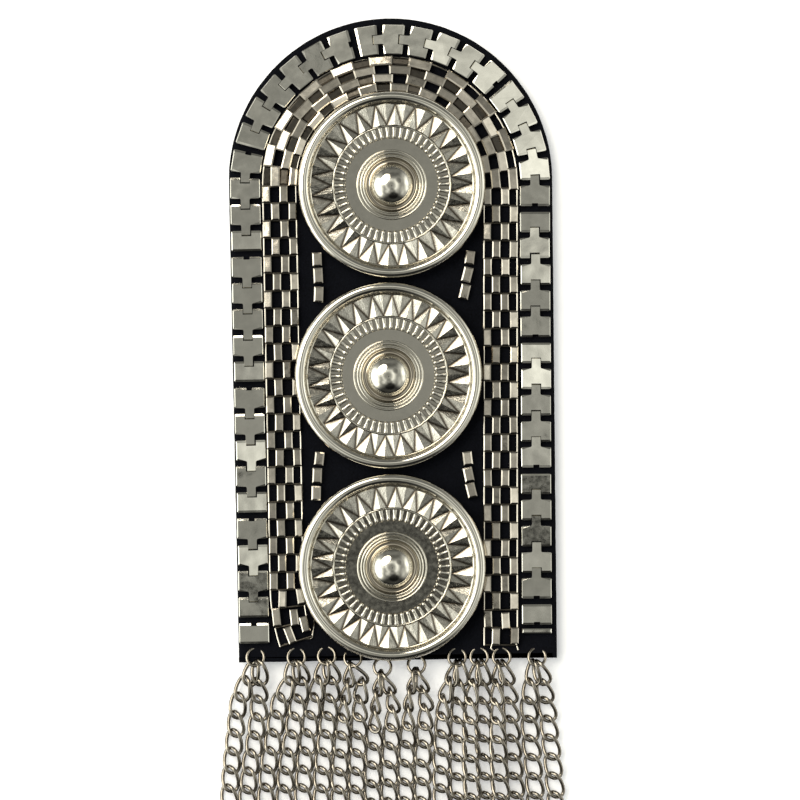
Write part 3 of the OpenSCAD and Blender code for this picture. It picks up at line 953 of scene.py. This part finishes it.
class EPAULETTE_OT_plate_chain(bpy.types.Operator):
    """Makes the cut lengths of plate chain along the board's edge"""
    bl_idname = "epaulette.plate_chain"
    bl_label = "Plate chain"

    def execute(self, context):
        settings = context.scene.epaulette.plates
        # Stamped steel with bright nickel: near-mirror, with shallow dents from stamping.
        metal = metal_material("stamped_nickel_plate", settings.colour, roughness=0.09,
                               waves=(4.5, 0.09), grain=(0.5, 0.003))
        track = track_object("plate_track", PLATE_TRACK,
                             2 * leg_length(PLATE_TRACK) + math.pi * PLATE_TRACK[0])
        shapes = {(tongue, joined_up): pattern(self.plate(settings, tongue, joined_up))
                  for tongue in (True, False) for joined_up in (True, False)}
        along, cut_length = CUT_LINK
        cut = pattern(chamfered_bar("cut_link", settings.width, cut_length * MM,
                                    settings.thickness, chamfer=0.3 * MM, drop=0.16 * MM))
        rng = random.Random(11)
        number = 0
        for run, count in enumerate(PLATE_RUNS):
            places = []
            for _ in range(count):
                s = FIRST_PLATE * MM + number * settings.pitch
                side, end = TIPPED_PLATES.get(number, (0, 0))
                side = math.radians(side) + rng.uniform(-1, 1) * settings.tilt
                end = math.radians(end) * 0.5 + rng.uniform(-1, 1) * settings.tilt
                places.append(((s, 0, SEAT), (side, end, 0), FULL_SIZE))
                number += 1
            parts = []
            for (tongue, joined_up), shape in shapes.items():
                fits = [place for i, place in enumerate(places)
                        if (i < count - 1) == tongue and (i > 0) == joined_up]
                if fits:
                    parts.append(laid("plates", track, shape, fits, metal))
            if run == 0:
                places = [((along * MM, 0, SEAT), (0, 0, math.radians(90)), FULL_SIZE)]
                parts.append(laid("cut_link", track, cut, places, metal))
            name = f"plate_run_{run + 1:02d}"
            piece(name + "_bevelled", joined(name + "_bevelled", parts), name)
        put_away(track, cut, *shapes.values())
        return {"FINISHED"}

    def plate(self, settings, tongue, joined_up):
        """A plate whose ends and sides roll off at the top, but not its tongue or its notch."""
        outline = self.outline(settings, tongue, joined_up)
        a, b = settings.length / 2, settings.width / 2  # half length and half width
        tip = max(x for x, _ in outline)
        levels = [(outline, 0)]
        for end, side, drop in PLATE_ROLL:
            low, high, half = -a + end * MM, a - end * MM, b - side * MM
            rolled = []
            for x, y in outline:
                on_tongue = x > a + 1e-6
                in_notch = abs(y) < settings.tongue_width and x > -a + 0.4 * MM
                if on_tongue:
                    x = min(x, tip - 0.3 * end * MM)
                elif not in_notch:
                    x, y = min(max(x, low), high), min(max(y, -half), half)
                rolled.append((x, y))
            levels.append((rolled, settings.thickness - drop * MM))
        return stacked("plate", levels)

    def outline(self, settings, tongue, joined_up):
        """A plate's outline: a notch at its back, and a tongue at its front if it has one."""
        # Half length, half width and corner of the plate, and the tongue's half width.
        a, b, r = settings.length / 2, settings.width / 2, 0.35 * MM
        half = settings.tongue_width / 2
        # An open notch shows only its mouth. One with a tongue in it shows its whole depth.
        notch = half + NOTCH_CLEARANCE * MM if joined_up else NOTCH_MOUTH * MM
        depth = (TONGUE_OVERLAP + NOTCH_CLEARANCE) * MM if joined_up else NOTCH_MOUTH * MM
        reach = settings.pitch - a + TONGUE_OVERLAP * MM
        small = 0.12 * MM  # the tongue's corners
        right = [(-a, -b + r), (-a + 0.3 * r, -b + 0.3 * r), (-a + r, -b), (a - r, -b),
                 (a - 0.3 * r, -b + 0.3 * r), (a, -b + r)]
        if tongue:
            right += [(a, -half - 2 * small), (a + small, -half - 0.5 * small),
                      (a + 3 * small, -half), (reach - small, -half), (reach, -half + small)]
        left = [(x, -y) for x, y in reversed(right)]
        return right + left + [(-a, notch), (-a + depth, notch), (-a + depth, -notch), (-a, -notch)]


class EPAULETTE_OT_brick_band(bpy.types.Operator):
    """Makes the woven band of folded bricks on cross pins, with its edge wires"""
    bl_idname = "epaulette.brick_band"
    bl_label = "Brick band"

    def execute(self, context):
        settings = context.scene.epaulette.band
        # Folded steel strip with bright nickel: each brick is bright or dark as it is tipped.
        metal = metal_material("folded_nickel_strip", settings.colour, roughness=0.12,
                               waves=(2.2, 0.035), grain=(0.4, 0.004), tarnish=0.3)
        # The cross pins are bare steel and lie low between the bricks. Their dark colour is painted
        # shade, and the lower folds get the same.
        shaded_steel = metal_material("darkened_steel_pin", linear("#4a4640"), roughness=0.3,
                              waves=(2.0, 0.02), grain=(0.3, 0.01))
        length = band_length() * MM
        pitch = length / settings.rows
        column = settings.width / BAND_COLUMNS
        across = settings.width / 2
        row_gap, column_gap = BRICK_GAPS
        track = track_object("band_track", BAND_TRACK, band_length())
        brick = pattern(chamfered_bar("brick", pitch - row_gap * MM, column - column_gap * MM,
                                      settings.thickness, chamfer=0.3 * MM, drop=0.14 * MM))
        pin = pattern(tube("pin", [(0, y * across, 0) for y in (-1, -0.98, 0.98, 1)],
                           settings.pin_diameter / 2, sides=8))
        wire = pattern(tube("edge_wire", [(-pitch / 2, 0, 0), (0, 0, 0.1 * MM), (pitch / 2, 0, 0)],
                            settings.edge_wire / 2, sides=6))
        bricks, folds, wires = self.rows(settings, pitch, column)
        pins = [((row * pitch, 0, SEAT + PIN_RISE * MM), LEVEL, FULL_SIZE)
                for row in range(settings.rows + 1)]
        parts = [laid("bricks", track, brick, bricks, metal),
                 laid("folds", track, brick, folds, shaded_steel),
                 laid("pins", track, pin, pins, shaded_steel),
                 laid("wires", track, wire, wires, metal)]
        for path in LOOSE_ENDS:
            end = tube("loose_end", [tuple(c * MM for c in p) for p in path],
                       settings.edge_wire / 2, sides=6)
            parts.append(with_material(end, metal))
        piece("brick_band_woven", joined("brick_band_woven", parts), "brick_band")
        put_away(track, brick, pin, wire)
        return {"FINISHED"}

    def rows(self, settings, pitch, column):
        """The places of the bricks, of the lower folds in painted shade and of the edge wires."""
        rng = random.Random(23)
        bricks, folds, wires = [], [], []
        arc_row = (leg_length(BAND_TRACK) + 0.5 * math.pi * BAND_TRACK[0]) * MM / pitch
        middle = (BAND_COLUMNS - 1) / 2
        for row in range(settings.rows):
            # The cut ends are jumbled, and over the arc the rows ride up on each other a little.
            over_arc = abs(row + 0.5 - arc_row) * pitch < 0.5 * math.pi * BAND_TRACK[0] * MM
            loose = 1 if row < 2 or row >= settings.rows - 3 else ARC_LOOSE if over_arc else 0
            for c in range(row % 2, BAND_COLUMNS, 2):
                corner = row == settings.rows - 1 and c == BAND_COLUMNS - 1
                slipped = -LAST_SLIP * MM if corner else 0
                shift = loose * rng.uniform(-LOOSE_SHIFT, LOOSE_SHIFT) * MM
                rise = loose * rng.uniform(0.0, LOOSE_RISE) * MM
                spot = ((row + 0.5) * pitch + shift + slipped, (c - middle) * column, SEAT + rise)
                lean = ARC_BULGE if over_arc else 1
                outwards = -settings.bulge * (c - middle) / middle * lean
                turn = (outwards + rng.uniform(-1, 1) * settings.tilt * (1 + loose),
                        rng.uniform(-0.5, 0.5) * settings.tilt * (1 + 2 * loose),
                        rng.uniform(-0.02, 0.02) + loose * rng.uniform(-LOOSE_TURN, LOOSE_TURN))
                bricks.append((spot, turn, ARC_BRICK_SIZE if over_arc else FULL_SIZE))
            # Dark copies of the bricks under some open cells: the lower folds, in painted shade.
            if over_arc:
                share = SHADED_FOLD_SHARES[0] if row > arc_row else SHADED_FOLD_SHARES[1]
                for c in range(1 - row % 2, BAND_COLUMNS, 2):
                    if rng.random() < share:
                        spot = ((row + 0.5 + rng.uniform(-0.06, 0.06)) * pitch,
                                (c - middle) * column, SEAT - SHADED_FOLD_DROP * MM)
                        turn = (rng.uniform(-0.2, 0.2), rng.uniform(-0.1, 0.1), 0)
                        folds.append((spot, turn, FULL_SIZE))
            # The open cell at the edge: on the track's left in even rows, on its right in odd ones.
            side = 1 if row % 2 == 0 else -1
            spot = ((row + 0.5) * pitch, side * (settings.width / 2 - EDGE_WIRE_INSET * MM),
                    SEAT + settings.thickness * EDGE_WIRE_RISE)
            wires.append((spot, LEVEL, FULL_SIZE))
        return bricks, folds, wires


class EPAULETTE_OT_conchos(bpy.types.Operator):
    """Makes the three sunburst discs"""
    bl_idname = "epaulette.conchos"
    bl_label = "Conchos"

    def execute(self, context):
        settings = context.scene.epaulette.conchos
        # Die-cast zinc with bright nickel. Rim, flat and dome are buffed to a mirror.
        # The low parts get painted shade, darker from 5.25 mm down to 4.75 mm.
        buffed = metal_material("buffed_nickel_casting", settings.colour, roughness=0.08,
                                waves=(9.0, 0.02), grain=(0.6, 0.001), tarnish=0.08,
                                valley_shade=(settings.valley_shade_colour, 4.75, 5.25))
        # The cast facets keep the die's grain. The feet of the teeth and ribs get painted shade,
        # darker from 5.32 mm down to 5.12 mm.
        grained = metal_material("grained_nickel_casting", settings.colour, roughness=0.22,
                                 waves=(2.0, 0.04), grain=(0.24, 0.05), tarnish=0.35,
                                 valley_shade=(settings.groove_shade_colour, 5.12, 5.32), brushed=True)
        turned = lathe("concho_body", self.profile(settings), segments=144)
        body = with_material(turned, buffed)
        tooth = pattern(self.tooth(settings))
        rib = pattern(self.rib())
        for name, (x, y) in CONCHOS.items():
            made = grown(name + "_cast", body.copy(),
                         ("repeat_round", {"Shape": tooth, "Count": settings.teeth,
                                           "First Turn": math.pi / settings.teeth,
                                           "Finish": grained}),
                         ("repeat_round", {"Shape": rib, "Count": settings.ribs,
                                           "First Turn": 0.0, "Finish": grained}))
            for vertex in made.vertices:
                vertex.co += Vector((x * MM, y * MM, SEAT))
            piece(name + "_cast", made, name)
        put_away(tooth, rib)
        return {"FINISHED"}

    def profile(self, settings):
        """Half section of a disc, from the dome's top outwards and back along the underside.

        Until it is returned, it is in radius and height in millimetres.
        """
        foot, height = settings.dome_width / 2 / MM, settings.dome_height / MM
        section = [(foot * math.sin(turn), 2 + height * math.cos(turn))
                   for turn in (math.pi / 2 * i / 18 for i in range(19))]
        # The gutter at the dome's foot, with three beads round it.
        section += [(4.8, 1.82), (5.15, 1.72), (5.5, 1.78), (5.8, 2.0)]
        for middle, half_w, top in ((6.1, 0.22, 2.45), (6.7, 0.2, 2.5), (7.4, 0.22, 2.4)):
            section += self.bead(middle, half_w, 2.14, top)
        # The flat, the seat of the ribs, a bead, the seat of the teeth and another bead.
        section += [(7.64, 2.1), (7.7, 2.1), (9.94, 2.1), (10.0, 2.1), (10.1, 2.0), (10.15, 2.0),
                    (12.3, 2.0)]
        section += self.bead(12.7, 0.24, 2.0, 2.3)
        section += [(13.05, 1.9), (17.3, 1.9)]
        section += self.bead(17.68, 0.3, 2.0, 2.6)
        # The rolled rim, its foot and the hollow underside.
        rim_r, rim_z, middle = 1.2, 2.5, 19.1
        section += [(middle + rim_r * math.cos(a), rim_z + rim_r * math.sin(a))
                    for a in (math.radians(205 - 295 * i / 26) for i in range(27))]
        section += [(18.9, 1.3), (18.9, 0), (17.9, 0), (17.9, 1.1), (0, 1.1)]
        return [(r * MM, z * MM) for r, z in section]

    def bead(self, middle, half_w, low, top):
        """A half-round ring in the section."""
        return [(middle - half_w * math.cos(a), low + (top - low) * math.sin(a))
                for a in (i * math.pi / 8 for i in range(9))]

    def tooth(self, settings):
        """One tooth of the sunburst: four facets between two radii, over a plain base."""
        inner, outer, low, base = 13.0 * MM, 17.5 * MM, 2.0 * MM, 1.85 * MM
        high = low + settings.tooth_height
        half = math.pi / settings.teeth
        rows = ((outer, (low, high, low)), (inner, (high, low, high)),
                (outer, (base, base, base)), (inner, (base, base, base)))
        points = [(radius * math.cos(side * half), radius * math.sin(side * half), z)
                  for radius, heights in rows for side, z in zip((-1, 0, 1), heights)]
        faces = [(0, 1, 4), (1, 2, 4), (0, 4, 3), (2, 5, 4),
                 (0, 6, 7, 1), (1, 7, 8, 2), (3, 4, 10, 9), (4, 5, 11, 10),
                 (0, 3, 9, 6), (2, 8, 11, 5), (6, 9, 10, 7), (7, 10, 11, 8)]
        mesh = mesh_from("tooth", points, faces)
        # The die was cut along the radius, so the grain is drawn out that way.
        grain = mesh.attributes.new("grain", "FLOAT_VECTOR", "POINT")
        for i, (x, y, z) in enumerate(points):
            grain.data[i].vector = (0.08 * x, y, z)
        return mesh

    def rib(self):
        """One rib of the inner ring, with a bead at its inner end."""
        # Radius, half width and height along the rib.
        stations = ((10.02, 0.05, 0.02), (10.14, 0.32, 0.30), (10.42, 0.48, 0.50),
                    (10.75, 0.45, 0.42), (11.1, 0.40, 0.30), (11.8, 0.46, 0.34),
                    (12.45, 0.54, 0.38))
        turns = [math.pi * j / 5 for j in range(6)]
        rings = [[(radius * MM, half_w * math.cos(a) * MM, (1.97 + height * math.sin(a)) * MM)
                  for a in turns] for radius, half_w, height in stations]
        return skin("rib", rings, 60)


class EPAULETTE_OT_sewn_bars(bpy.types.Operator):
    """Makes the small bars sewn between the discs"""
    bl_idname = "epaulette.sewn_bars"
    bl_label = "Sewn bars"

    def execute(self, context):
        colour = context.scene.epaulette.band.colour
        # The same folded strip as the bricks, cut and sewn down singly.
        metal = metal_material("folded_nickel_bar", colour, roughness=0.12, waves=(2.5, 0.05),
                               grain=(0.4, 0.006))
        unit = pattern(chamfered_bar("bar", BAR_LENGTH * MM, BAR_WIDTH * MM, BAR_HEIGHT * MM,
                                     chamfer=0.4 * MM, drop=0.15 * MM))
        rng = random.Random(31)
        for column, bars in BARS.items():
            for number, (x, y, turn, length) in enumerate(bars, 1):
                name = f"bar_{column}_{number}"
                tipped = (rng.uniform(-0.09, 0.09), rng.uniform(-0.05, 0.05),
                          math.radians(turn + 90))
                place = ((x * MM, y * MM, SEAT), tipped, (length / BAR_LENGTH, 1, 1))
                made = grown(name + "_rounded", points_mesh("bar_place", [place]),
                             ("set_on_places", {"Shape": unit, "Finish": metal}))
                piece(name + "_rounded", made, name)
        put_away(unit)
        return {"FINISHED"}


class EPAULETTE_OT_fringe(bpy.types.Operator):
    """Makes the sewn rings and the curb chains that hang from them"""
    bl_idname = "epaulette.fringe"
    bl_label = "Fringe"

    def execute(self, context):
        settings = context.scene.epaulette.fringe
        # Drawn steel wire with thin nickel, dulled by handling, so greyer than the plates.
        wire = metal_material("drawn_nickel_wire", settings.colour, roughness=0.15,
                              waves=(1.5, 0.01), grain=(0.3, 0.002), tarnish=0.3)
        half_width = (settings.link_width - settings.wire) / 2
        half_length = (settings.pitch + (1 + LINK_SLACK) * settings.wire) / 2
        for i in range(len(CHAINS)):
            path, rolls = self.route(i, settings, half_width / MM, half_length / MM)
            name = f"fringe_chain_{i + 1:02d}"
            made = grown(name + "_links", line_mesh(name + "_path", path, rolls), (
                "links_on_path", {
                    "Pitch": settings.pitch, "Half Width": half_width / (1 - LINK_FULLNESS),
                    "Half Length": half_length, "Twist": settings.twist,
                    "Slant": -settings.slant, "Wire Radius": settings.wire / 2,
                    "Jitter": settings.jitter, "Seed": 100 + i, "Finish": wire}))
            piece(name + "_links", made, name)
        rng = random.Random(8)
        for i, (x, y) in enumerate(RINGS):
            name = f"jump_ring_{i + 1:02d}"
            ring = tube(name + "_sewn", self.ring_path(x, y, rng), RING_WIRE_RADIUS * MM,
                        sides=10, closed=True)
            piece(name + "_sewn", with_material(ring, wire), name)
        return {"FINISHED"}

    def ring_path(self, x, y, rng):
        """A ring's middle line. Its far side is sunk in the felt, and its near side stands up."""
        tip = math.radians(RING_TIP + rng.uniform(-3, 3))
        turn = rng.uniform(-0.3, 0.3)
        path = []
        for k in range(40):
            a = math.tau * k / 40
            u, v = RING_RADIUS * math.cos(a), RING_RADIUS * math.sin(a)
            across = u * math.sin(turn) + v * math.cos(turn)
            path.append(((x + u) * MM, (y + v) * MM,
                         (RING_Z - RING_SINK - math.sin(tip) * across) * MM))
        return path

    def route(self, i, settings, half_width, half_length):
        """A chain's middle line with its roll, from its ring to its free end, in metres."""
        *stations, end_x, lift, end_y = CHAINS[i]
        ring_x, ring_y = RINGS[i // 2]
        side = -1 if i % 2 == 0 else 1
        start_turn, flat_y = CHAIN_TURNS[i // 2]
        start_turn *= 1 if side < 0 else RIGHT_CHAIN_TURN
        wire, twist = settings.wire / 2 / MM, settings.twist / MM
        wire_y = ring_y - math.sqrt(RING_RADIUS ** 2 - RING_SPREAD ** 2)
        first_y = wire_y + RING_WIRE_RADIUS + wire - half_length * 0.96
        held_y = first_y - HELD_LINKS * settings.pitch / MM
        knots = [(ring_x + side * RING_SPREAD, first_y)]
        knots += [(x, y) for x, y in zip(stations, CHAIN_STATIONS) if y < first_y - KNOT_GAP]
        knots += [((stations[-1] + end_x) / 2, (CHAIN_STATIONS[-1] + end_y) / 2),
                  (end_x, end_y + half_length)]
        path, rolls = [], []
        for x, y in smooth_line(knots, 10):
            share = min(1, max(0, (y - flat_y) / (held_y - flat_y)))
            ease = share * share * (3 - 2 * share)
            turn = math.radians(SHINGLE + (start_turn - SHINGLE) * ease)
            rest = (FLOOR_GAP + wire + twist * abs(math.cos(turn))
                    + 0.93 * half_width * abs(math.sin(turn)) + lift)
            # Near the ring the chain runs down from the ring's height to where it lies.
            fall = min(1, max(0, (y - FALLEN_Y) / (first_y - FALLEN_Y)))
            z = rest + max(0, RING_Z - START_DROP - rest) * fall
            path.append((x * MM, y * MM, z * MM))
            rolls.append(turn)
        return path, rolls


def smooth_line(knots, steps):
    """Points on a smooth line through the knots."""
    pts = [knots[0], *knots, knots[-1]]
    made = []
    for k in range(1, len(pts) - 2):
        p0, p1, p2, p3 = (Vector(p) for p in pts[k - 1:k + 3])
        for j in range(steps):
            t = j / steps
            made.append(0.5 * (2 * p1 + (p2 - p0) * t + (2 * p0 - 5 * p1 + 4 * p2 - p3) * t * t
                               + (3 * p1 - p0 - 3 * p2 + p3) * t ** 3))
    made.append(Vector(knots[-1]))
    return [tuple(p) for p in made]


class EPAULETTE_PT_panel(bpy.types.Panel):
    """Lists the epaulette's pieces and settings"""
    bl_idname = "EPAULETTE_PT_panel"
    bl_label = "Epaulette"
    bl_space_type = "VIEW_3D"
    bl_region_type = "UI"
    bl_category = "Epaulette"

    def draw(self, context):
        layout = self.layout
        for operator in OPERATORS:
            layout.operator(operator.bl_idname)
        settings = context.scene.epaulette
        for key in ("felt", "plates", "band", "conchos", "fringe", "stage"):
            group = getattr(settings, key)
            box = layout.box()
            box.label(text=key.capitalize())
            for name in group.__annotations__:
                box.prop(group, name)


OPERATORS = (
    EPAULETTE_OT_stage, EPAULETTE_OT_felt_board, EPAULETTE_OT_plate_chain,
    EPAULETTE_OT_brick_band, EPAULETTE_OT_conchos, EPAULETTE_OT_sewn_bars, EPAULETTE_OT_fringe,
)
CLASSES = (
    FeltSettings, PlateSettings, BandSettings, ConchoSettings, FringeSettings, StageSettings,
    EpauletteSettings, *OPERATORS, EPAULETTE_PT_panel,
)


def register():
    for cls in CLASSES:
        bpy.utils.register_class(cls)
    bpy.types.Scene.epaulette = PointerProperty(type=EpauletteSettings)


def unregister():
    del bpy.types.Scene.epaulette
    for cls in reversed(CLASSES):
        bpy.utils.unregister_class(cls)


def main():
    register()
    bpy.ops.epaulette.stage()
    bpy.ops.epaulette.felt_board()
    bpy.ops.epaulette.plate_chain()
    bpy.ops.epaulette.brick_band()
    bpy.ops.epaulette.conchos()
    bpy.ops.epaulette.sewn_bars()
    bpy.ops.epaulette.fringe()


if __name__ == "__main__":
    main()
